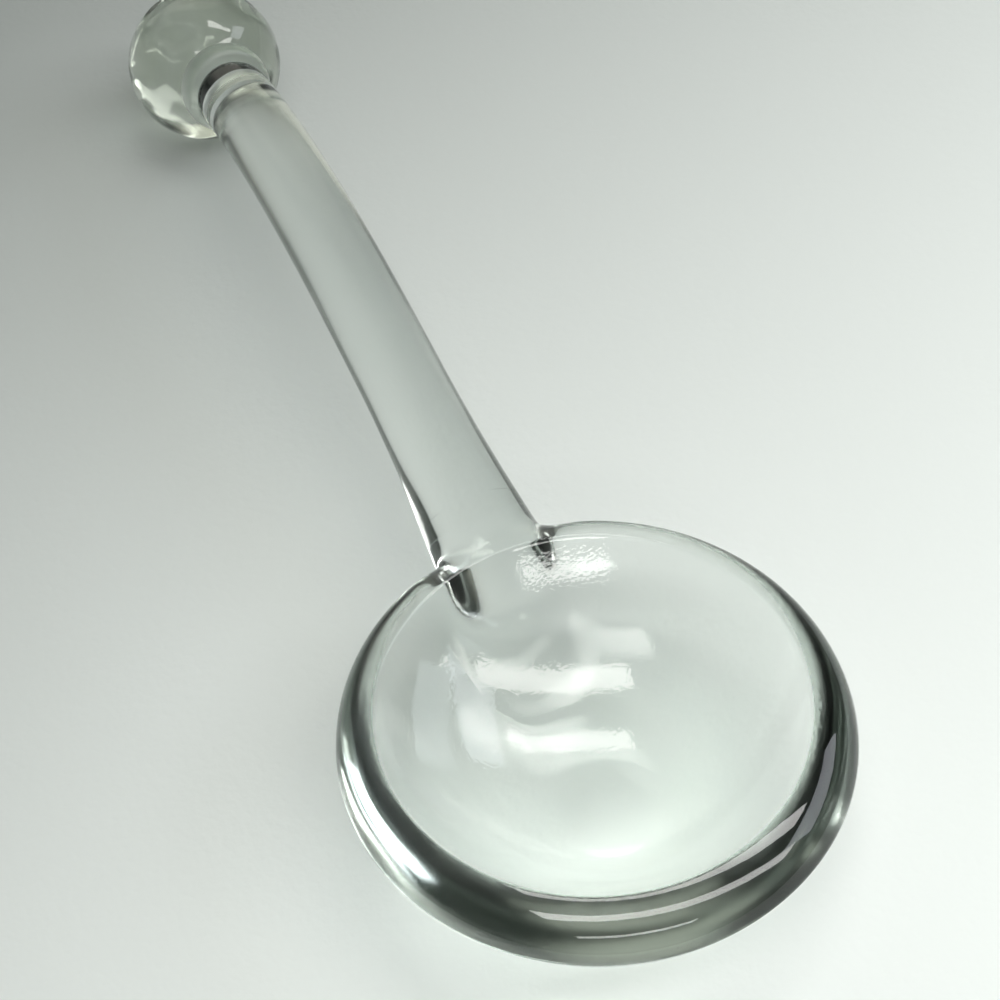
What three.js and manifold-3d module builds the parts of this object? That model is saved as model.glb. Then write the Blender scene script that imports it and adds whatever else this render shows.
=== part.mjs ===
// Clear glass condiment ladle: a thick round cup, an arched rod, a collar ring and an end ball.
// Millimetres, +Z up. The cup's flat base rests on z = 0 around the origin and the handle runs along +Y.

import * as THREE from 'three';
import Module from 'manifold-3d';

// Bowl sizes
const BELLY_RADIUS = 25;
const RIM_HEIGHT = 16;
const RIM_BAND = 4.2;
const SHOULDER_DROP = 3.7;
const BASE_RADIUS = 7;
const WALL_FULLNESS = 0.7;
const WALL_CORNER_SHARE = 0.23;
const FLOOR_THICKNESS = 4;
const CAVITY_POWER = 2.6;
const BOWL_LEAN = 3.6;

// Handle sizes
const ROD_WIDTH_ROOT = 9.3;
const ROD_WIDTH_END = 8.9;
const ROD_FLATNESS = 0.96;
const ROOT_FLARE = 1.6;
const FLARE_LENGTH = 19;
const ROOT_DROP = 0.1;
const ROOT_RISE_DEGREES = 9.5;
const SIDE_FILLET = 2;
const UNDER_FILLET = 3.5;
const TOP_FILLET = 1.6;
const LUG_LENGTH = 5;
const HANDLE_REACH = 112;
const END_DIP_DEGREES = 18.5;
const ARCH_EASE = 0.34;
const ROD_END_ROUND = 0.8;

// Collar and ball sizes
const COLLAR_RADIUS = 5.3;
const COLLAR_THICKNESS = 2.6;
const BALL_RADIUS = 9.3;

// Clear space between two faces that were melted together
const SEAM_GAP = 0.1;

// Facets around the bowl and around the round pieces of the handle
const BOWL_SIDES = 72;
const ROD_SIDES = 36;

// Sizes that follow from the ones above
const rimEdgeRadius = BELLY_RADIUS - RIM_BAND;
const crestHeight = RIM_HEIGHT - SHOULDER_DROP;
const cavityDepth = RIM_HEIGHT - FLOOR_THICKNESS;
const rootHalfWidth = (ROD_WIDTH_ROOT + ROOT_FLARE) / 2;
const rootHalfHeight = (ROD_WIDTH_ROOT / 2) * ROD_FLATNESS;
const rise = THREE.MathUtils.degToRad(ROOT_RISE_DEGREES);
const rootAxis = new THREE.Vector3(0, Math.cos(rise), Math.sin(rise));
const rootHeight = RIM_HEIGHT - ROOT_DROP - rootHalfHeight / Math.cos(rise);
const bellyY = leanAt(rootHeight) + BELLY_RADIUS;
const seamPoint = rootAxisPoint(bellyY + LUG_LENGTH);
const collarFaceRadius = COLLAR_RADIUS - COLLAR_THICKNESS / 2;
const seatDistance = Math.sqrt(BALL_RADIUS ** 2 - collarFaceRadius ** 2);
const ballCentre = new THREE.Vector3(0, BOWL_LEAN + HANDLE_REACH, BALL_RADIUS);
const dip = THREE.MathUtils.degToRad(END_DIP_DEGREES);
const endAxis = new THREE.Vector3(0, Math.cos(dip), -Math.sin(dip));

const wasm = await Module();
wasm.setup();

// How far the bowl's axis has moved towards the handle at a height above the table
function leanAt(height) {
  return (BOWL_LEAN * height) / RIM_HEIGHT;
}

// The middle of the rod's root: its top is level with the rim where it passes over the belly
function rootAxisPoint(y) {
  return new THREE.Vector3(0, y, rootHeight + (y - bellyY) * Math.tan(rise));
}

// Whole steps from 0 to 1
function steps(count) {
  return Array.from({ length: count + 1 }, (unused, index) => index / count);
}

// A closed surface over rings of equal length; each end is a fan around its own middle point
function skin(rings, firstPoint, lastPoint) {
  const sides = rings[0].length;
  const average = (ring) => ring.reduce((sum, point) => sum.add(point), new THREE.Vector3()).divideScalar(sides);
  const points = rings.flat();
  const firstIndex = points.push(firstPoint ?? average(rings[0])) - 1;
  const lastIndex = points.push(lastPoint ?? average(rings.at(-1))) - 1;
  const faces = [];
  for (let side = 0; side < sides; side += 1) {
    const next = (side + 1) % sides;
    const lastRing = (rings.length - 1) * sides;
    faces.push([firstIndex, next, side], [lastIndex, lastRing + side, lastRing + next]);
    for (let ring = 0; ring < rings.length - 1; ring += 1) {
      const here = ring * sides;
      const there = here + sides;
      faces.push([here + side, here + next, there + next], [here + side, there + next, there + side]);
    }
  }
  const volume = faces.reduce((sum, [a, b, c]) => sum + points[a].dot(points[b].clone().cross(points[c])), 0);
  const outward = volume > 0 ? faces : faces.map(([a, b, c]) => [a, c, b]);
  const geometry = new THREE.BufferGeometry().setFromPoints(points);
  geometry.setIndex(outward.flat());
  return geometry;
}

// A ring of the leaning bowl
function bowlRing(radius, height) {
  return steps(BOWL_SIDES).slice(1).map((share) => {
    const angle = share * 2 * Math.PI;
    return new THREE.Vector3(radius * Math.cos(angle), radius * Math.sin(angle) + leanAt(height), height);
  });
}

// An oval ring square to an axis in the plane x = 0
function ovalRing(centre, axis, halfWidth, halfHeight) {
  const across = new THREE.Vector3(1, 0, 0);
  const up = across.clone().cross(axis).normalize();
  return steps(ROD_SIDES).slice(1).map((share) => {
    const angle = share * 2 * Math.PI;
    return centre.clone()
      .addScaledVector(across, halfWidth * Math.cos(angle))
      .addScaledVector(up, halfHeight * Math.sin(angle));
  });
}

function asSolid(geometry) {
  const vertProperties = new Float32Array(geometry.attributes.position.array);
  const triVerts = new Uint32Array(geometry.index.array);
  return new wasm.Manifold(new wasm.Mesh({ numProp: 3, vertProperties, triVerts }));
}

function asGeometry(solid) {
  const mesh = solid.getMesh();
  const geometry = new THREE.BufferGeometry();
  geometry.setAttribute('position', new THREE.BufferAttribute(mesh.vertProperties, 3));
  geometry.setIndex(new THREE.BufferAttribute(mesh.triVerts, 1));
  return geometry;
}

// The lower wall's outline, crest to base, as radius and height
function lowerWall() {
  return new THREE.QuadraticBezierCurve(
    new THREE.Vector2(BELLY_RADIUS, crestHeight),
    new THREE.Vector2(
      THREE.MathUtils.lerp(BASE_RADIUS, BELLY_RADIUS, WALL_FULLNESS),
      crestHeight * WALL_CORNER_SHARE,
    ),
    new THREE.Vector2(BASE_RADIUS, 0),
  );
}

// The cup without its hollow: flat top, quarter-ellipse shoulder, crest, tucked-in lower wall, flat base
function bowlOutside() {
  const shoulder = steps(9).map((share) => {
    const angle = (share * Math.PI) / 2;
    const radius = rimEdgeRadius + RIM_BAND * Math.sin(angle);
    return bowlRing(radius, RIM_HEIGHT - SHOULDER_DROP * (1 - Math.cos(angle)));
  });
  const lower = lowerWall().getPoints(10).slice(1).map((point) => bowlRing(point.x, point.y));
  return skin([...shoulder, ...lower]);
}

// The hollow: its height above the floor grows as a power of the radius, and it opens above the rim
function bowlHollow() {
  const overhead = RIM_HEIGHT * 0.1;
  const rings = [bowlRing(rimEdgeRadius + overhead / 2, RIM_HEIGHT + overhead)];
  for (const share of steps(14).slice(0, -1)) {
    const radius = rimEdgeRadius * (1 - share);
    rings.push(bowlRing(radius, FLOOR_THICKNESS + cavityDepth * (1 - share) ** CAVITY_POWER));
  }
  const pole = new THREE.Vector3(0, leanAt(FLOOR_THICKNESS), FLOOR_THICKNESS);
  return skin(rings, undefined, pole);
}

// The bowl's outside radius at a height: the shoulder above the crest, the lower wall below it
function outsideRadius(height) {
  if (height >= crestHeight) {
    const cosine = THREE.MathUtils.clamp(1 - (RIM_HEIGHT - height) / SHOULDER_DROP, 0, 1);
    return rimEdgeRadius + RIM_BAND * Math.sqrt(1 - cosine ** 2);
  }
  const wall = lowerWall().getPoints(40);
  const index = Math.max(wall.findIndex((point) => point.y <= Math.max(height, 0)), 1);
  const [above, below] = [wall[index - 1], wall[index]];
  return THREE.MathUtils.mapLinear(Math.max(height, 0), below.y, above.y, below.x, above.x);
}

// Where the bowl's wall stands at a point of the root, measured along the handle
function wallY(point) {
  const radius = outsideRadius(point.z);
  return leanAt(point.z) + Math.sqrt(Math.max(radius ** 2 - point.x ** 2, 0));
}

// A point of the lug's side, so far from the seam towards the bowl; the sides go on spreading as the rod's do
function lugPoint(seamEdge, distance) {
  const spread = (ROOT_FLARE / FLARE_LENGTH) * (seamEdge.x / rootHalfWidth) * distance;
  return seamEdge.clone().addScaledVector(rootAxis, -distance).add(new THREE.Vector3(spread, 0, 0));
}

// How far from the seam a line of the lug's side meets the wall
function wallDistance(seamEdge) {
  let [clear, buried] = [0, LUG_LENGTH + RIM_BAND + BELLY_RADIUS / 2];
  for (let halving = 0; halving < 40; halving += 1) {
    const middle = (clear + buried) / 2;
    const point = lugPoint(seamEdge, middle);
    if (point.y > wallY(point)) clear = middle;
    else buried = middle;
  }
  return clear;
}

// One line of the lug: along the rod to the fillet's start, round the fillet, onto the wall and inside
function lugLine(seamEdge) {
  const outward = seamEdge.clone().sub(seamPoint).normalize();
  const upDown = outward.z > 0 ? TOP_FILLET : UNDER_FILLET;
  const fillet = SIDE_FILLET * Math.abs(outward.x) + upDown * Math.abs(outward.z);
  const distance = wallDistance(seamEdge);
  const corner = lugPoint(seamEdge, distance);
  const onRod = lugPoint(seamEdge, distance - fillet);
  const onWall = corner.clone().addScaledVector(outward, fillet);
  onWall.z = Math.min(onWall.z, RIM_HEIGHT - ROOT_DROP);
  onWall.y = wallY(onWall) - ROOT_DROP;
  const straight = steps(4).map((share) => seamEdge.clone().lerp(onRod, share));
  const round = new THREE.QuadraticBezierCurve3(onRod, corner, onWall).getPoints(8).slice(1);
  const inside = rootAxisPoint(BOWL_LEAN + rimEdgeRadius * 0.8).addScaledVector(outward, rootHalfWidth / 2);
  return [...straight, ...round, inside];
}

// The lug at the rim: it ends flat at the seam, flares into the wall with fillets and is buried in it
function bowlLug() {
  const lines = ovalRing(seamPoint, rootAxis, rootHalfWidth, rootHalfHeight).map(lugLine);
  const rings = lines[0].map((unused, index) => lines.map((line) => line[index]));
  return skin(rings);
}

function bowl() {
  const solid = asSolid(bowlOutside()).add(asSolid(bowlLug())).subtract(asSolid(bowlHollow()));
  return asGeometry(solid);
}

// The drawn rod: wider at its root, it rises from the lug in an arch and dips to the collar with a rounded end
function handleStem() {
  const start = seamPoint.clone().addScaledVector(rootAxis, SEAM_GAP);
  const end = ballCentre.clone().addScaledVector(endAxis, -(seatDistance + COLLAR_THICKNESS + 2 * SEAM_GAP));
  const reach = start.distanceTo(end) * ARCH_EASE;
  const path = new THREE.CubicBezierCurve3(
    start,
    start.clone().addScaledVector(rootAxis, reach),
    end.clone().addScaledVector(endAxis, -reach),
    end,
  );
  const roundShare = ROD_END_ROUND / path.getLength();
  const body = steps(44).map((share) => ({ at: share * (1 - roundShare), inset: 0 }));
  const round = steps(4).slice(1).map((share) => {
    const angle = (share * Math.PI) / 2;
    return { at: 1 - roundShare * (1 - Math.sin(angle)), inset: ROD_END_ROUND * (1 - Math.cos(angle)) };
  });
  const rings = [...body, ...round].map(({ at, inset }) => {
    const half = THREE.MathUtils.lerp(ROD_WIDTH_ROOT, ROD_WIDTH_END, at) / 2;
    const flare = (ROOT_FLARE / 2) * Math.max(1 - (at * path.getLength()) / FLARE_LENGTH, 0) ** 2;
    const halfHeight = half * ROD_FLATNESS;
    return ovalRing(path.getPointAt(at), path.getTangentAt(at), half + flare - inset, halfHeight - inset);
  });
  return skin(rings);
}

// The collar: a flat disc with a fully rounded edge, square to the end of the rod
function collarRing() {
  const half = COLLAR_THICKNESS / 2;
  const middle = ballCentre.clone().addScaledVector(endAxis, -(seatDistance + SEAM_GAP + half));
  const rings = steps(12).map((share) => {
    const angle = (share - 0.5) * Math.PI;
    const radius = collarFaceRadius + half * Math.cos(angle);
    return ovalRing(middle.clone().addScaledVector(endAxis, half * Math.sin(angle)), endAxis, radius, radius);
  });
  return skin(rings);
}

// The ball, with a small flat seat where the collar was pressed on
function endBall() {
  const seatAngle = Math.asin(collarFaceRadius / BALL_RADIUS);
  const rings = steps(22).slice(0, -1).map((share) => {
    const angle = THREE.MathUtils.lerp(seatAngle, Math.PI, share);
    const radius = BALL_RADIUS * Math.sin(angle);
    const centre = ballCentre.clone().addScaledVector(endAxis, -BALL_RADIUS * Math.cos(angle));
    return ovalRing(centre, endAxis, radius, radius);
  });
  return skin(rings, undefined, ballCentre.clone().addScaledVector(endAxis, BALL_RADIUS));
}

const group = new THREE.Group();
group.name = 'condiment_ladle';

// Every piece is the same clear glass with a breath of green, in a material of its own
function addPiece(name, geometry, colour) {
  geometry.computeVertexNormals();
  const material = new THREE.MeshStandardMaterial({
    color: colour, roughness: 0.05, metalness: 0, transparent: true, opacity: 0.45,
  });
  const mesh = new THREE.Mesh(geometry, material);
  mesh.name = name;
  group.add(mesh);
}

addPiece('bowl', bowl(), '#dfe8e2');
addPiece('handle_stem', handleStem(), '#e2eae5');
addPiece('collar_ring', collarRing(), '#d6e0d8');
addPiece('end_ball', endBall(), '#dae4dc');

export default group;
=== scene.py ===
import bmesh
import bpy
import numpy as np
from mathutils import Matrix, Vector


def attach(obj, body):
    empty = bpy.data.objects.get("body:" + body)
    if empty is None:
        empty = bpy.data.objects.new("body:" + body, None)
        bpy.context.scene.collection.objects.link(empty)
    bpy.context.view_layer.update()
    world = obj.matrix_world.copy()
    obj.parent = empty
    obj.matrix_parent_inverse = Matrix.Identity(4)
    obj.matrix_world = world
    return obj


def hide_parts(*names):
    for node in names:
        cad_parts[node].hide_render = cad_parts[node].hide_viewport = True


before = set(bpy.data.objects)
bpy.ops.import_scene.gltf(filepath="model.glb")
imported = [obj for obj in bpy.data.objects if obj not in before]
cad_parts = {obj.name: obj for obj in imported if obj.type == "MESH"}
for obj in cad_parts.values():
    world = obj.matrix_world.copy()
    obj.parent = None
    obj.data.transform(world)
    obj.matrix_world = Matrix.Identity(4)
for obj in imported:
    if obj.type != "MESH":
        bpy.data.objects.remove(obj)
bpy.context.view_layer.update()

# Bowl: a thick round cup of clear soda-lime glass, shaped from one gather, with a rounded rim and
# a flat base. The root of the handle was melted onto the rim and smoothed in the flame, so it
# flows into the wall with small fillets. The rim stands a little nearer the handle than the base.
BELLY_RADIUS = 25.0
RIM_HEIGHT = 16.0
RIM_BAND = 4.2
SHOULDER_DROP = 3.7
BASE_RADIUS = 7.0
WALL_FULLNESS = 0.7
WALL_CORNER_SHARE = 0.23
FLOOR_THICKNESS = 4.0
CAVITY_POWER = 2.6
BOWL_LEAN = 3.6
ROD_WIDTH_ROOT = 9.3
ROD_FLATNESS = 0.96
ROOT_FLARE = 1.6
FLARE_LENGTH = 19.0
ROOT_DROP = 0.1
ROOT_RISE = np.radians(9.5)
SIDE_FILLET = 2.0
UNDER_FILLET = 3.5
TOP_FILLET = 1.6
LUG_LENGTH = 5.0
BOWL_COLUMNS = 48
ROD_COLUMNS = 28
RIM_EDGE = BELLY_RADIUS - RIM_BAND
CREST_HEIGHT = RIM_HEIGHT - SHOULDER_DROP

# How the surface differs from ring to ring: roughness that the tools left below the crest, along the
# lug and inside the cup, as shares of the roughness named here
UNDER_ROUGH = 0.13
UNDER_STEPS = [0.6, 0.2, 0.7, 0.9, 1.0, 1.0]
LUG_ROUGH = [0.8, 1.4, 1.0, 0.6, 0.46]
INSIDE_ROUGH = 0.035

# Painted shade and light for the cloth under the glass, in place of the light that thick glass
# bends away or gathers: how far the lamp light that reaches the cloth through a ring goes from
# plain glass to the painted shade of the crest. It is below 0 where it paints the light that the
# cup gathers. The rows are the inside, the shoulder and the lower wall, first away from the handle
# and then beside it. The side and right shares paint light on the inside's sides and the right.
CREST_PAINTED_SHADE = "#5c605c"
NEAR_PAINTED_DUSK = [
    -0.6, -0.75, -0.85, -0.85, -0.85, -0.85, -0.85,
    0.0, 0.0, 0.0, 0.2, 0.5, 0.7,
    0.6, 0.1, -0.4, -0.6, -0.6, -0.5,
]
FAR_PAINTED_DUSK = [
    0.8, 0.9, 0.9, 0.85, 0.9, 0.9, 0.9,
    1.0, 1.1, 1.2, 1.2, 1.2, 1.2,
    1.2, 1.1, 0.6, 0.2, 0.2, 0.3,
]
LUG_PAINTED_DUSK = [1.0, 1.0, 0.8, 0.3, 0.0]
FLOOR_PAINTED_DUSK = 0.8
FLOOR_PAINTED_SHADE = 0.15
SIDE_PAINTED_LIGHT = 0.4
RIGHT_PAINTED_LIGHT = 0.9


def lean(height):
    """How far the cup's axis has moved towards the handle at a height: in proportion to it."""
    return BOWL_LEAN * height / RIM_HEIGHT


def swell(columns):
    """How much wider a cage ring is than the smooth ring it gives: a cubic spline through equal
    columns lies at (4 + 2 cos step) / 6 of the cage's radius."""
    return 6 / (4 + 2 * np.cos(2 * np.pi / columns))


def shoulder(turn):
    """Radius and height on the rim's shoulder: a quarter ellipse from inner edge to crest."""
    radius = RIM_EDGE + RIM_BAND * np.sin(turn)
    height = RIM_HEIGHT - SHOULDER_DROP * (1 - np.cos(turn))
    return np.stack([radius, height], -1)


def lower_wall(share):
    """Radius and height on the lower wall: a quadratic Bezier curve from the crest to the base."""
    share = np.asarray(share)[:, None]
    crest = np.array([BELLY_RADIUS, CREST_HEIGHT])
    corner_radius = BASE_RADIUS + (BELLY_RADIUS - BASE_RADIUS) * WALL_FULLNESS
    corner = np.array([corner_radius, CREST_HEIGHT * WALL_CORNER_SHARE])
    foot = np.array([BASE_RADIUS, 0.0])
    return (1 - share) ** 2 * crest + 2 * share * (1 - share) * corner + share ** 2 * foot


def cavity_height(radius):
    """Height of the cup's inside: the floor plus a power of the distance from the middle."""
    return FLOOR_THICKNESS + (RIM_HEIGHT - FLOOR_THICKNESS) * (radius / RIM_EDGE) ** CAVITY_POWER


def bowl_points(radius, height, angle):
    """Points of the leaning cup: the circle of a radius at each height is shifted by its lean."""
    x = radius * np.cos(angle)
    y = radius * np.sin(angle) + lean(height)
    return np.stack(np.broadcast_arrays(x, y, height), -1)


def grid_quads(index, closed):
    """Quads between the rows of an index grid; a closed grid joins its last column to its first."""
    if closed:
        index = np.concatenate([index, index[:, :1]], 1)
    corners = [index[:-1, :-1], index[:-1, 1:], index[1:, 1:], index[1:, :-1]]
    return np.stack(corners, -1).reshape(-1, 4)


def disc_grid(columns):
    """A square grid bent into the unit disc, x sqrt(1 - y*y/2) and y sqrt(1 - x*x/2), with its border
    points at equal angles, turned by half a step where its corners would fall between two columns.
    Gives x, y, the border mask and the border's column numbers."""
    line = np.sqrt(2) * np.sin(np.linspace(-np.pi / 4, np.pi / 4, columns // 4 + 1))
    across, along = np.meshgrid(line, line, indexing="ij")
    bent = across * np.sqrt(1 - along ** 2 / 2) + 1j * along * np.sqrt(1 - across ** 2 / 2)
    bent = bent * np.exp(1j * np.pi / columns * (columns // 4 % 2))
    x, y = bent.real, bent.imag
    border = np.zeros(x.shape, bool)
    border[[0, -1], :] = True
    border[:, [0, -1]] = True
    column = np.rint(np.arctan2(y, x) / (2 * np.pi / columns)).astype(int) % columns
    return x, y, border, column


def capped(points, quads, ring, filling):
    """Closes a ring with a disc grid: its border is the ring, the rest comes from filling(x, y)."""
    x, y, border, column = disc_grid(len(ring))
    index = np.where(border, ring[column], 0)
    index[~border] = len(points) + np.arange(np.count_nonzero(~border))
    points = np.concatenate([points, filling(x[~border], y[~border])])
    return points, np.concatenate([quads, grid_quads(index, False)])


def ladle_piece(name, points, quads, folds, seams, glass, levels, marks={}):
    """Makes a closed smooth piece from a cage in millimetres. folds are pairs of point numbers with
    the sharpness of the edge between them; seams are rings closed by a flat face that was melted
    together; marks are named values at the points, which the glass reads."""
    used = np.unique(np.concatenate([quads.ravel(), *seams]))
    number = np.full(len(points), -1)
    number[used] = np.arange(len(used))
    faces = number[quads].tolist() + [number[ring].tolist() for ring in seams]
    mesh = bpy.data.meshes.new(name)
    mesh.from_pydata((points[used] * 0.001).tolist(), [], faces)
    shape = bmesh.new()
    shape.from_mesh(mesh)
    bmesh.ops.recalc_face_normals(shape, faces=shape.faces)
    shape.to_mesh(mesh)
    shape.free()
    rings = [(np.stack([ring, np.roll(ring, -1)], -1), 1.0) for ring in seams]
    pairs = np.concatenate([number[pair] for pair, sharpness in folds + rings])
    sharp = np.concatenate([np.broadcast_to(sharpness, len(pair))
                            for pair, sharpness in folds + rings])
    ends = np.zeros(len(mesh.edges) * 2, np.int32)
    mesh.edges.foreach_get("vertices", ends)
    key = np.sort(ends.reshape(-1, 2), 1) @ np.array([len(used), 1])
    order = np.argsort(key)
    edge = order[np.searchsorted(key[order], np.sort(pairs, 1) @ np.array([len(used), 1]))]
    crease = np.zeros(len(key), np.float32)
    crease[edge] = sharp
    mesh.attributes.new("crease_edge", "FLOAT", "EDGE").data.foreach_set("value", crease)
    mesh.attributes.new("sharp_edge", "BOOLEAN", "EDGE").data.foreach_set("value", crease > 0.99)
    for mark, value in marks.items():
        layer = mesh.attributes.new(mark, "FLOAT", "POINT")
        layer.data.foreach_set("value", value[used].astype(np.float32))
    mesh.polygons.foreach_set("use_smooth", np.ones(len(faces), bool))
    on_seam = (np.arange(len(faces)) >= len(quads)).astype(np.float32)
    mesh.attributes.new("seam", "FLOAT", "FACE").data.foreach_set("value", on_seam)
    mesh.materials.append(glass)
    piece = bpy.data.objects.new(name, mesh)
    bpy.context.scene.collection.objects.link(piece)
    smooth = piece.modifiers.new("smooth", "SUBSURF")
    smooth.levels = levels
    smooth.render_levels = levels
    return piece


def rgb(code):
    """The linear colour of an sRGB hex value, by the sRGB curve."""
    value = np.array([int(code[i:i + 2], 16) for i in (1, 3, 5)]) / 255
    linear = np.where(value <= 0.04045, value / 12.92, ((value + 0.055) / 1.055) ** 2.4)
    return (*linear.tolist(), 1.0)


def add_node(tree, kind, settings={}, values={}, links={}):
    """Adds a node with its settings, the plain values of its sockets and the links into them."""
    node = tree.nodes.new(kind)
    for key, value in settings.items():
        setattr(node, key, value)
    for key, value in values.items():
        node.inputs[key].default_value = value
    for key, source in links.items():
        tree.links.new(source, node.inputs[key])
    return node


# What the glass shows: the finest grain left by serving, drawn as 0.4 mm grains where real scratches
# are finer, smudges about 6 mm wide, and the green-grey that a metre of it would have
GRAIN_WIDTH = 0.0004
GRAIN_DEPTH = 0.000014
SMUDGE_WIDTH = 0.006
SMUDGE_ROUGH = 0.06
GLASS_BEND = 1.51
DEPTH_COLOUR = "#becec3"
DEPTH_DENSITY = 20.0


def clear_glass(name, stretch, wave, wave_depth, polish, passes, cast="#fafdfb"):
    """Soda-lime glass, fire polished: clear, green-grey where light runs far in it, with the soft
    waves that the flame and the tools left, and smudges from use. Shadow rays pass it with a
    painted shade for the cloth under it. stretch draws the waves out along an axis, wave and
    wave_depth are their width and height in metres, polish is the least roughness, passes is the
    painted share of light that one surface leaves the cloth, and cast tints the smudges."""
    material = bpy.data.materials.new(name)
    material.use_nodes = True
    tree = material.node_tree
    tree.nodes.clear()

    def mark(attribute):
        """A value that the points carry."""
        return add_node(tree, "ShaderNodeAttribute", {"attribute_name": attribute}).outputs["Fac"]

    def noise(width, detail, vector):
        """Soft noise with lumps of a width in metres."""
        values = {"Scale": 1 / width, "Detail": detail}
        return add_node(tree, "ShaderNodeTexNoise", {}, values, {"Vector": vector}).outputs["Fac"]

    place = add_node(tree, "ShaderNodeTexCoord").outputs["Object"]
    drawn = add_node(tree, "ShaderNodeMapping", {}, {"Scale": stretch}, {"Vector": place})
    bump = add_node(tree, "ShaderNodeBump", {}, {"Strength": 1.0, "Distance": wave_depth},
                    {"Height": noise(wave, 1.0, drawn.outputs["Vector"])})
    bump = add_node(tree, "ShaderNodeBump", {}, {"Distance": GRAIN_DEPTH},
                    {"Height": noise(GRAIN_WIDTH, 1.0, place), "Normal": bump.outputs[0],
                     "Strength": mark("inside")})
    smudge = noise(SMUDGE_WIDTH, 4.0, place)
    wear = add_node(tree, "ShaderNodeMapRange", {},
                    {"From Min": 0.45, "From Max": 0.8, "To Min": polish,
                     "To Max": polish + SMUDGE_ROUGH},
                    {"Value": smudge})
    for attribute, roughness in (("inside", INSIDE_ROUGH), ("under", UNDER_ROUGH)):
        wear = add_node(tree, "ShaderNodeMath", {"operation": "MULTIPLY_ADD"}, {1: roughness},
                        {0: mark(attribute), 2: wear.outputs[0]})
    tint = add_node(tree, "ShaderNodeMix", {"data_type": "RGBA"}, {6: rgb("#ffffff"), 7: rgb(cast)},
                    {0: smudge})
    surface = add_node(tree, "ShaderNodeBsdfPrincipled", {},
                       {"IOR": GLASS_BEND, "Transmission Weight": 1.0},
                       {"Base Color": tint.outputs[2], "Roughness": wear.outputs[0],
                        "Normal": bump.outputs[0]})
    # Painted shade and light for the cloth: shadow rays pass with the plain pass colour, moved by the
    # points' mark towards the crest's painted shade colour, or past plain glass where it paints
    # light.
    shade = add_node(tree, "ShaderNodeMix", {"data_type": "RGBA", "clamp_factor": False},
                     {6: rgb(passes), 7: rgb(CREST_PAINTED_SHADE)}, {0: mark("painted_dusk")})
    passing = add_node(tree, "ShaderNodeBsdfTransparent", {}, {}, {"Color": shade.outputs[2]})
    shadow_ray = add_node(tree, "ShaderNodeLightPath").outputs["Is Shadow Ray"]
    mixed = add_node(tree, "ShaderNodeMixShader", {}, {},
                     {0: shadow_ray, 1: surface.outputs[0], 2: passing.outputs[0]})
    fused = add_node(tree, "ShaderNodeBsdfTransparent")
    mixed = add_node(tree, "ShaderNodeMixShader", {}, {},
                     {0: mark("seam"), 1: mixed.outputs[0], 2: fused.outputs[0]})
    depth = add_node(tree, "ShaderNodeVolumeAbsorption", {},
                     {"Color": rgb(DEPTH_COLOUR), "Density": DEPTH_DENSITY})
    add_node(tree, "ShaderNodeOutputMaterial", {}, {},
             {"Surface": mixed.outputs[0], "Volume": depth.outputs[0]})
    return material


# Bowl glass: the clearest of the four, with broad shallow waves
# Its pass colour paints how dark the bowl's plain shadow on the cloth falls.
bowl_glass = clear_glass("pressed_bowl_glass", (1, 1, 1), 0.011, 0.00006, 0.0, "#c8cac8")

inside_radius = np.array([8.5, 11.0, 13.4, 15.6, 17.5, 19.0, 20.2])
profile = np.concatenate([
    np.stack([inside_radius, cavity_height(inside_radius)], -1),
    shoulder(np.radians([0, 5, 25, 48, 70, 90])),
    lower_wall([0.12, 0.30, 0.52, 0.78, 1.0]),
    [[BASE_RADIUS * 0.75, 0.0]],
])
EDGE_ROW, TOP_ROW, CREST_ROW, LOW_ROW = 7, 8, 12, 16
column_angle = np.arange(BOWL_COLUMNS) * 2 * np.pi / BOWL_COLUMNS
bowl_index = np.arange(len(profile) * BOWL_COLUMNS).reshape(len(profile), BOWL_COLUMNS)
bowl_cage = bowl_points(profile[:, :1] * swell(BOWL_COLUMNS), profile[:, 1:], column_angle)
bowl_cage = bowl_cage.reshape(-1, 3)

# The window in the wall where the lug leaves it: seven columns on the handle's side, rim to foot
MIDDLE, HALF = BOWL_COLUMNS // 4, 3
wall_quads = grid_quads(bowl_index, True).reshape(len(profile) - 1, BOWL_COLUMNS, 4)
in_window = np.zeros(wall_quads.shape[:2], bool)
in_window[TOP_ROW:LOW_ROW, MIDDLE - HALF:MIDDLE + HALF] = True
bowl_quads = wall_quads[~in_window]
window = np.concatenate([
    bowl_index[TOP_ROW, MIDDLE:MIDDLE - HALF:-1],
    bowl_index[TOP_ROW:LOW_ROW, MIDDLE - HALF],
    bowl_index[LOW_ROW, MIDDLE - HALF:MIDDLE + HALF],
    bowl_index[LOW_ROW:TOP_ROW:-1, MIDDLE + HALF],
    bowl_index[TOP_ROW, MIDDLE + HALF:MIDDLE:-1],
])

# The lug: lines along the rod from the seam to the wall, then over the wall to the window's border
rod_half = np.array([ROD_WIDTH_ROOT + ROOT_FLARE, ROD_WIDTH_ROOT * ROD_FLATNESS]) / 2
root_axis = np.array([0.0, np.cos(ROOT_RISE), np.sin(ROOT_RISE)])
root_height = RIM_HEIGHT - ROOT_DROP - rod_half[1] / np.cos(ROOT_RISE)
belly_y = lean(root_height) + BELLY_RADIUS
seam_middle = np.array([0.0, belly_y + LUG_LENGTH, root_height + LUG_LENGTH * np.tan(ROOT_RISE)])
OUTLINE_STEPS = 60
wall_outline = np.concatenate([shoulder(np.linspace(0, np.pi / 2, OUTLINE_STEPS)),
                               lower_wall(np.linspace(0, 1, OUTLINE_STEPS))])


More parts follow.
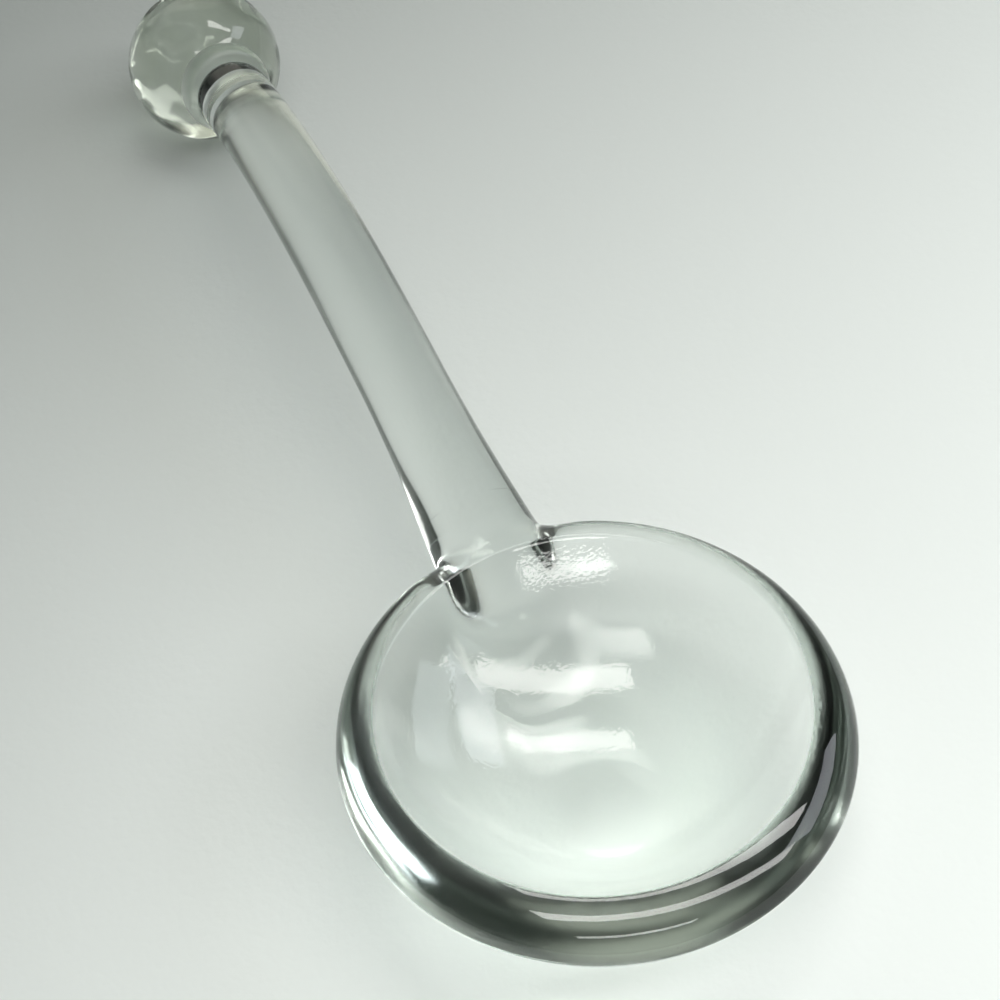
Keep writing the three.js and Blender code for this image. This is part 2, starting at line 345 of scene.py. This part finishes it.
def oval(middle, axis, half_width, half_height):
    """Rings of an oval rod around middles along axes in the plane x = 0: across is +X, and up is
    square to both."""
    turn = np.pi / 2 - np.arange(ROD_COLUMNS) * 2 * np.pi / ROD_COLUMNS
    zero = np.zeros_like(axis[..., 0])
    up = np.stack([zero, -axis[..., 2], axis[..., 1]], -1)
    out = np.multiply.outer(half_width * np.cos(turn), np.array([1.0, 0.0, 0.0]))
    return middle[..., None, :] + out + (half_height * np.sin(turn))[..., None] * up[..., None, :]


def wall_y(x, z):
    """How far along the handle the cup's outside stands at a width and a height: the lean plus the
    root of radius squared less width squared."""
    radius = np.interp(z, wall_outline[::-1, 1], wall_outline[::-1, 0])
    return lean(z) + np.sqrt(np.maximum(radius ** 2 - x ** 2, 0))


seam_ring = oval(seam_middle, root_axis, *(rod_half * swell(ROD_COLUMNS)))
outward = (seam_ring - seam_middle) / np.linalg.norm(seam_ring - seam_middle, axis=1)[:, None]
spread = np.zeros((ROD_COLUMNS, 3))
spread[:, 0] = ROOT_FLARE / FLARE_LENGTH * seam_ring[:, 0] / seam_ring[:, 0].max()
to_wall = spread - root_axis
clear = np.zeros(ROD_COLUMNS)
buried = np.full(ROD_COLUMNS, LUG_LENGTH + RIM_BAND + BELLY_RADIUS / 2)
HALVINGS = 40
for halving in range(HALVINGS):
    middle = (clear + buried) / 2
    reached = seam_ring + middle[:, None] * to_wall
    free = reached[:, 1] > wall_y(reached[:, 0], reached[:, 2])
    clear, buried = np.where(free, middle, clear), np.where(free, buried, middle)
root_corner = seam_ring + clear[:, None] * to_wall
fillet = SIDE_FILLET * np.abs(outward[:, 0])
fillet += np.where(outward[:, 2] > 0, TOP_FILLET, UNDER_FILLET) * np.abs(outward[:, 2])
on_rod = root_corner - to_wall * fillet[:, None]
FILLET_REACH = 1.1
BELOW_RIM = 0.15
on_wall = root_corner + outward * fillet[:, None] * FILLET_REACH
on_wall[:, 2] = np.minimum(on_wall[:, 2], RIM_HEIGHT - BELOW_RIM)
on_wall[:, 1] = wall_y(on_wall[:, 0], on_wall[:, 2])
lug_rings = np.stack([on_wall, root_corner, on_rod, (on_rod + seam_ring) / 2, seam_ring])
lug_index = len(bowl_cage) + np.arange(lug_rings.shape[0] * ROD_COLUMNS).reshape(-1, ROD_COLUMNS)
bowl_cage = np.concatenate([bowl_cage, lug_rings.reshape(-1, 3)])
bowl_quads = np.concatenate([bowl_quads, grid_quads(np.concatenate([window[None], lug_index]), True)])

# Marks on the points: inside the cup, the tool marks under it, and the painted shade and light
# for the cloth from side to side
inside = np.zeros(len(bowl_cage))
inside[bowl_index[:EDGE_ROW]] = 1
under = np.zeros(len(bowl_cage))
under[bowl_index[CREST_ROW + 1:]] = np.array(UNDER_STEPS)[:, None]
under[lug_index] = np.array(LUG_ROUGH)[:, None]
painted_dusk = np.zeros(len(bowl_cage))
handle_side = np.sin(column_angle)
round_painted_dusk = (np.outer(NEAR_PAINTED_DUSK, 1 - handle_side) + np.outer(FAR_PAINTED_DUSK, 1 + handle_side)) / 2
round_painted_dusk[:EDGE_ROW] -= SIDE_PAINTED_LIGHT * np.cos(column_angle) ** 2
right_painted_light = 1 - RIGHT_PAINTED_LIGHT * np.maximum(np.cos(column_angle), 0) ** 4
painted_dusk[bowl_index] = np.where(round_painted_dusk > 0, round_painted_dusk * right_painted_light, round_painted_dusk)
painted_dusk[lug_index] = np.array(LUG_PAINTED_DUSK)[:, None]


def cup_floor(x, y):
    """The middle of the cup's inside over the unit disc, at the cavity's height for each radius."""
    share = np.hypot(x, y)
    height = cavity_height(profile[0, 0] * share)
    return bowl_points(profile[0, 0] * swell(BOWL_COLUMNS) * share, height, np.arctan2(y, x))


def cup_base(x, y):
    """The flat middle of the base over the unit disc, at height 0."""
    radius = profile[-1, 0] * swell(BOWL_COLUMNS) * np.hypot(x, y)
    return bowl_points(radius, 0.0 * x, np.arctan2(y, x))


bowl_cage, bowl_quads = capped(bowl_cage, bowl_quads, bowl_index[0], cup_floor)
inside = np.pad(inside, (0, len(bowl_cage) - len(inside)), constant_values=1)
# The cup's floor and base paint shade on the cloth too: darker towards the handle, with painted light
# away from it.
along_handle = bowl_cage[len(painted_dusk):, 1] - lean(FLOOR_THICKNESS)
painted_dusk = np.append(painted_dusk, FLOOR_PAINTED_DUSK * along_handle / inside_radius[0] + FLOOR_PAINTED_SHADE)
bowl_cage, bowl_quads = capped(bowl_cage, bowl_quads, bowl_index[-1], cup_base)
inside = np.pad(inside, (0, len(bowl_cage) - len(inside)))
under = np.pad(under, (0, len(bowl_cage) - len(under)), constant_values=1)
under[inside > 0] = 0
painted_dusk = np.append(painted_dusk, FLOOR_PAINTED_DUSK * bowl_cage[len(painted_dusk):, 1] / BASE_RADIUS + FLOOR_PAINTED_SHADE)

# The crest is a soft line that fades out over five columns beside the lug
RIM_SHARPNESS = 0.35
CREST_SHARPNESS = 0.95
FADE_COLUMNS = 5
ring_pairs = np.stack([bowl_index, np.roll(bowl_index, -1, 1)], -1)
crest_columns = np.arange(MIDDLE + HALF, MIDDLE - HALF + BOWL_COLUMNS) % BOWL_COLUMNS
from_end = np.arange(len(crest_columns))
crest_fade = np.minimum(np.minimum(from_end, from_end[::-1]) / FADE_COLUMNS, 1)
bowl = ladle_piece(
    "ladle_bowl", bowl_cage, bowl_quads,
    [(ring_pairs[EDGE_ROW], RIM_SHARPNESS),
     (ring_pairs[CREST_ROW, crest_columns], CREST_SHARPNESS * crest_fade)],
    [lug_index[-1]], bowl_glass, 2, {"inside": inside, "under": under, "painted_dusk": painted_dusk})
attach(bowl, "root")
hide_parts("bowl")

# Handle stem: a solid rod drawn by hand from the gather, bent in a low arch while soft, and melted
# onto the lug of the bowl. Its far end is rounded where it meets the collar.
ROD_WIDTH_END = 8.9
HANDLE_REACH = 112.0
END_DIP = np.radians(18.5)
ARCH_EASE = 0.34
COLLAR_RADIUS = 5.3
COLLAR_THICKNESS = 2.6
BALL_RADIUS = 9.3
SEAM_GAP = 0.02
end_axis = np.array([0.0, np.cos(END_DIP), -np.sin(END_DIP)])
ball_middle = np.array([0.0, BOWL_LEAN + HANDLE_REACH, BALL_RADIUS])
seat_radius = COLLAR_RADIUS - COLLAR_THICKNESS / 2
seat_distance = np.sqrt(BALL_RADIUS ** 2 - seat_radius ** 2)
ROD_END_RADIUS = 3.7
ROD_ROUGH = 0.06
CURVE_STEPS = 2001
STEM_RINGS = 26


def arch(share):
    """The rod's middle line and direction: a cubic Bezier curve that leaves the lug along the root
    and arrives along the dip of the end, at equal steps of its length."""
    start = seam_middle + root_axis * SEAM_GAP
    end = ball_middle - end_axis * (seat_distance + COLLAR_THICKNESS + 2 * SEAM_GAP)
    ease = np.linalg.norm(end - start) * ARCH_EASE
    handles = np.stack([start, start + root_axis * ease, end - end_axis * ease, end])
    t = np.linspace(0, 1, CURVE_STEPS)[:, None]
    weights = [(1 - t) ** 3, 3 * t * (1 - t) ** 2, 3 * t ** 2 * (1 - t), t ** 3]
    line = np.concatenate(weights, 1) @ handles
    length = np.concatenate([[0], np.cumsum(np.linalg.norm(np.diff(line, axis=0), axis=1))])
    at = np.interp(share, length / length[-1], t[:, 0])
    steps = np.stack([(1 - at) ** 2, 2 * at * (1 - at), at ** 2], -1) @ np.diff(handles, axis=0)
    points = np.stack([np.interp(at, t[:, 0], line[:, i]) for i in range(3)], -1)
    return points, steps / np.linalg.norm(steps, axis=1)[:, None]


# Rod glass: waves of about 4 mm, drawn out along the rod when it was pulled
# Its pass colour paints how dark the rod's shadow on the cloth falls.
stem_glass = clear_glass("drawn_rod_glass", (1, 0.06, 1), 0.004, 0.00012, ROD_ROUGH, "#a4a6a4")
stem_share = np.concatenate([np.linspace(0, 0.97, STEM_RINGS), [0.985, 1.0]])
stem_middle, stem_axis = arch(stem_share)
rod_length = np.linalg.norm(np.diff(stem_middle, axis=0), axis=1).sum()
stem_half = np.interp(stem_share, [0, 1], [ROD_WIDTH_ROOT / 2, ROD_WIDTH_END / 2])
stem_half[-1] = ROD_END_RADIUS
stem_flare = ROOT_FLARE / 2 * np.maximum(1 - stem_share * rod_length / FLARE_LENGTH, 0) ** 2
stem_flat = np.where(stem_share < 1, ROD_FLATNESS, 1.0)
stem_width = ((stem_half + stem_flare) * swell(ROD_COLUMNS))[:, None]
stem_height = (stem_half * stem_flat * swell(ROD_COLUMNS))[:, None]
stem_rings = oval(stem_middle, stem_axis, stem_width, stem_height)
stem_index = np.arange(stem_rings.shape[0] * ROD_COLUMNS).reshape(-1, ROD_COLUMNS)
stem = ladle_piece("ladle_handle_stem", stem_rings.reshape(-1, 3), grid_quads(stem_index, True), [],
                   [stem_index[0], stem_index[-1]], stem_glass, 2)
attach(stem, "root")
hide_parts("handle_stem")

# Collar ring: a small bead of glass pressed flat between the rod and the ball, with a rounded edge.
# It is fused to both, so only its edge shows.
FUSED_RADIUS = 5.0
COLLAR_STEPS = np.array([0.0, 0.025, 0.21, 0.65, 0.92, 1.0])
COLLAR_PROFILE = np.array([ROD_END_RADIUS, 4.75, 5.35, 5.4, 5.25, FUSED_RADIUS])
collar_start = ball_middle - end_axis * (seat_distance + COLLAR_THICKNESS + SEAM_GAP)
fused_distance = np.sqrt(BALL_RADIUS ** 2 - FUSED_RADIUS ** 2)
collar_along = COLLAR_STEPS * (COLLAR_THICKNESS + seat_distance - fused_distance)
collar_half = (COLLAR_PROFILE * swell(ROD_COLUMNS))[:, None]
collar_middle = collar_start + collar_along[:, None] * end_axis
collar_axis = np.broadcast_to(end_axis, collar_middle.shape)
collar_rings = oval(collar_middle, collar_axis, collar_half, collar_half)
collar_index = np.arange(collar_rings.shape[0] * ROD_COLUMNS).reshape(-1, ROD_COLUMNS)

# Bead glass: duller than the rest, where the tongs held it
# Its pass colour paints how dark the collar's shadow on the cloth falls.
bead_glass = clear_glass("pressed_bead_glass", (1, 1, 1), 0.005, 0.00003, 0.3, "#808280")
collar = ladle_piece("ladle_collar_ring", collar_rings.reshape(-1, 3),
                     grid_quads(collar_index, True), [],
                     [collar_index[0], collar_index[-1]], bead_glass, 2)
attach(collar, "root")
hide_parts("collar_ring")

# End ball: a solid ball of the same glass, turned and fire polished, fused to the collar. The handle
# rests on it.
seat_angle = np.arcsin(FUSED_RADIUS / BALL_RADIUS)
SEAT_STEP = 0.16
CAP_ANGLE = np.radians(140)
BALL_RINGS = 11
ball_turn = np.append(seat_angle, np.linspace(seat_angle + SEAT_STEP, CAP_ANGLE, BALL_RINGS))
ball_full = BALL_RADIUS * swell(2 * np.pi / (ball_turn[-1] - ball_turn[-2]))
ball_radius = np.where(ball_turn > seat_angle, ball_full, BALL_RADIUS)
ball_ring_middle = ball_middle - (ball_radius * np.cos(ball_turn))[:, None] * end_axis
ball_width = (ball_radius * np.sin(ball_turn) * swell(ROD_COLUMNS))[:, None]
ball_axis = np.broadcast_to(end_axis, ball_ring_middle.shape)
ball_rings = oval(ball_ring_middle, ball_axis, ball_width, ball_width)
ball_index = np.arange(ball_rings.shape[0] * ROD_COLUMNS).reshape(-1, ROD_COLUMNS)


def ball_end(x, y):
    """The ball's far end: a disc point's distance from the middle becomes its angle from the end."""
    angle = (np.pi - ball_turn[-1]) * np.hypot(x, y)
    out = ball_full * np.sin(angle) * swell(ROD_COLUMNS) / np.maximum(np.hypot(x, y), 1e-9)
    up = np.array([0.0, -end_axis[2], end_axis[1]])
    flat = (out * y)[:, None] * np.array([1.0, 0.0, 0.0]) + (out * x)[:, None] * up
    return ball_middle + (ball_full * np.cos(angle))[:, None] * end_axis + flat


# Ball glass: a yellowish cast and deep waves, from turning it in the flame
# Its darker pass colour paints a darker shadow on the cloth under the ball.
ball_glass = clear_glass("turned_ball_glass", (1, 1, 1), 0.009, 0.0025, 0.06, "#6a6c6a", "#f0f4e2")
ball_cage, ball_quads = capped(ball_rings.reshape(-1, 3), grid_quads(ball_index, True),
                               ball_index[-1], ball_end)
ball = ladle_piece("ladle_end_ball", ball_cage, ball_quads, [], [ball_index[0]], ball_glass, 2)
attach(ball, "root")
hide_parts("end_ball")

# Table cloth: plain pale cotton under the ladle, with painted shade that greys it a little away
# from the light. The weave is drawn as 1.2 mm lumps, coarser than real threads.
CLOTH_LIGHT = "#f6fbf9"
CLOTH_PAINTED_SHADE = "#8b908e"
WEAVE_WIDTH = 0.0012
WEAVE_DEPTH = 0.0002
CLOTH_HALF = 1.5
CLOTH_POINTS = 31
CLOTH_DROP = 0.0001
cloth = bpy.data.materials.new("pale_cotton_cloth")
cloth.use_nodes = True
cloth_tree = cloth.node_tree
cloth_tree.nodes.clear()
cloth_place = add_node(cloth_tree, "ShaderNodeTexCoord").outputs["Object"]
weave = add_node(cloth_tree, "ShaderNodeTexNoise", {}, {"Scale": 1 / WEAVE_WIDTH, "Detail": 2.0},
                 {"Vector": cloth_place})
weave_bump = add_node(cloth_tree, "ShaderNodeBump", {}, {"Strength": 0.25, "Distance": WEAVE_DEPTH},
                      {"Height": weave.outputs["Fac"]})
# Painted shade: the colour goes from pale to grey along this way, away from the light.
away = add_node(cloth_tree, "ShaderNodeVectorMath", {"operation": "DOT_PRODUCT"},
                {1: (-0.44, 0.90, 0.0)}, {0: cloth_place})
shade = add_node(cloth_tree, "ShaderNodeMapRange", {"interpolation_type": "SMOOTHSTEP"},
                 {"From Min": -0.06, "From Max": 0.22}, {"Value": away.outputs["Value"]})
cloth_colour = add_node(cloth_tree, "ShaderNodeMix", {"data_type": "RGBA"},
                        {6: rgb(CLOTH_LIGHT), 7: rgb(CLOTH_PAINTED_SHADE)}, {0: shade.outputs[0]})
cloth_surface = add_node(cloth_tree, "ShaderNodeBsdfPrincipled", {}, {"Roughness": 0.95},
                         {"Base Color": cloth_colour.outputs[2], "Normal": weave_bump.outputs[0]})
add_node(cloth_tree, "ShaderNodeOutputMaterial", {}, {}, {"Surface": cloth_surface.outputs[0]})
floor_line = np.linspace(-CLOTH_HALF, CLOTH_HALF, CLOTH_POINTS)
floor_x, floor_y = np.meshgrid(floor_line, floor_line, indexing="ij")
floor_points = np.stack([floor_x, floor_y, np.full(floor_x.shape, -CLOTH_DROP)], -1)
floor_index = np.arange(floor_x.size).reshape(floor_x.shape)
floor_faces = grid_quads(floor_index, False)[:, ::-1]
floor_mesh = bpy.data.meshes.new("table_cloth")
floor_mesh.from_pydata(floor_points.reshape(-1, 3).tolist(), [], floor_faces.tolist())
floor_mesh.materials.append(cloth)
floor = bpy.data.objects.new("table_cloth", floor_mesh)
bpy.context.scene.collection.objects.link(floor)

# Room: dim walls that the thick glass turns dark at its edges, a paler ceiling to the right, a dark
# doorway, a pale skirting all round and a cream wall ahead, which glows in the near rim.
FLOOR_LEVEL = "#222923"
CEILING = "#626b63"
DOORWAY = "#2d332e"
SKIRTING = "#868c86"
FAR_WALL = "#d2d3c8"
world = bpy.data.worlds.new("dim_room")
bpy.context.scene.world = world
world.use_nodes = True
room_tree = world.node_tree
room_tree.nodes.clear()
sky_way = add_node(room_tree, "ShaderNodeTexCoord").outputs["Generated"]


def facing(way):
    """How far the seen direction runs along a way: their dot product."""
    node = add_node(room_tree, "ShaderNodeVectorMath", {"operation": "DOT_PRODUCT"}, {1: way},
                    {0: sky_way})
    return node.outputs["Value"]


def painted(under_paint, colour, value, start, stop):
    """The room with another colour where a value passes from start to stop, by a smooth step."""
    share = add_node(room_tree, "ShaderNodeMapRange", {"interpolation_type": "SMOOTHSTEP"},
                     {"From Min": min(start, stop), "From Max": max(start, stop),
                      "To Min": float(start > stop), "To Max": float(start < stop)},
                     {"Value": value})
    mix = add_node(room_tree, "ShaderNodeMix", {"data_type": "RGBA"}, {7: rgb(colour)},
                   {0: share.outputs[0], 6: under_paint})
    return mix.outputs[2]


sky_ramp = add_node(room_tree, "ShaderNodeValToRGB", {}, {}, {"Fac": facing((0.5, 0.0, 0.6))})
low_end, high_end = sky_ramp.color_ramp.elements
low_end.color = rgb(FLOOR_LEVEL)
low_end.position = 0.0
high_end.color = rgb(CEILING)
high_end.position = 0.75
room = painted(sky_ramp.outputs[0], DOORWAY, facing((0.5, 0.5, 0.707)), 0.7, 0.95)
room = painted(room, SKIRTING, facing((0.0, 0.0, 1.0)), 0.26, 0.06)
room = painted(room, FAR_WALL, facing((0.193, 0.907, 0.375)), 0.82, 0.93)
sky = add_node(room_tree, "ShaderNodeBackground", {}, {"Strength": 1.0}, {"Color": room})
add_node(room_tree, "ShaderNodeOutputWorld", {}, {}, {"Surface": sky.outputs[0]})

# Lamps: three long panels overhead, side by side.
for name, place, turn, size, watts in (
    ("near_panel", (0.185, -0.2375, 0.5), -18.3, (0.78, 0.10), 2.0),
    ("far_panel", (0.190, 0.0325, 0.5), -23.2, (0.47, 0.08), 0.95),
    ("front_panel", (-0.100, -0.6100, 0.5), -15.7, (0.50, 0.08), 1.05),
):
    lamp = bpy.data.lights.new(name, "AREA")
    lamp.shape = "RECTANGLE"
    lamp.size, lamp.size_y = size
    lamp.energy = watts
    lamp.color = rgb("#fffefb")[:3]
    holder = bpy.data.objects.new(name, lamp)
    holder.location = place
    holder.rotation_euler = (0, 0, np.radians(turn))
    bpy.context.scene.collection.objects.link(holder)

# Window: daylight from the right.
window_light = bpy.data.lights.new("window_light", "AREA")
window_light.shape = "RECTANGLE"
window_light.size, window_light.size_y = 0.43, 0.25
window_light.energy = 1.15
window_light.color = rgb("#f4f8ff")[:3]
window_holder = bpy.data.objects.new("window_light", window_light)
window_place = Vector((0.629, -0.111, 0.481))
window_holder.location = window_place
window_holder.rotation_euler = window_place.to_track_quat("Z", "Y").to_euler()
bpy.context.scene.collection.objects.link(window_holder)

# Camera: above the bowl's near side and to the left, looking along the handle.
lens = bpy.data.cameras.new("camera")
lens.sensor_width = 36.0
lens.lens = 90.0
lens.clip_start = 0.01
camera = bpy.data.objects.new("camera", lens)
camera_right = np.array([0.9131, -0.4060, -0.0390])
camera_forward = np.array([0.2321, 0.5958, -0.7689])
camera_forward /= np.linalg.norm(camera_forward)
camera_right -= camera_forward * (camera_right @ camera_forward)
camera_right /= np.linalg.norm(camera_right)
camera_up = np.cross(camera_right, camera_forward)
place = np.eye(4)
place[:3, :3] = np.stack([camera_right, camera_up, -camera_forward], -1)
place[:3, 3] = [-0.05643, -0.12052, 0.21085]
camera.matrix_world = Matrix(place.tolist())
bpy.context.scene.collection.objects.link(camera)
bpy.context.scene.camera = camera
bpy.context.scene.view_settings.view_transform = "Standard"

bpy.context.view_layer.update()
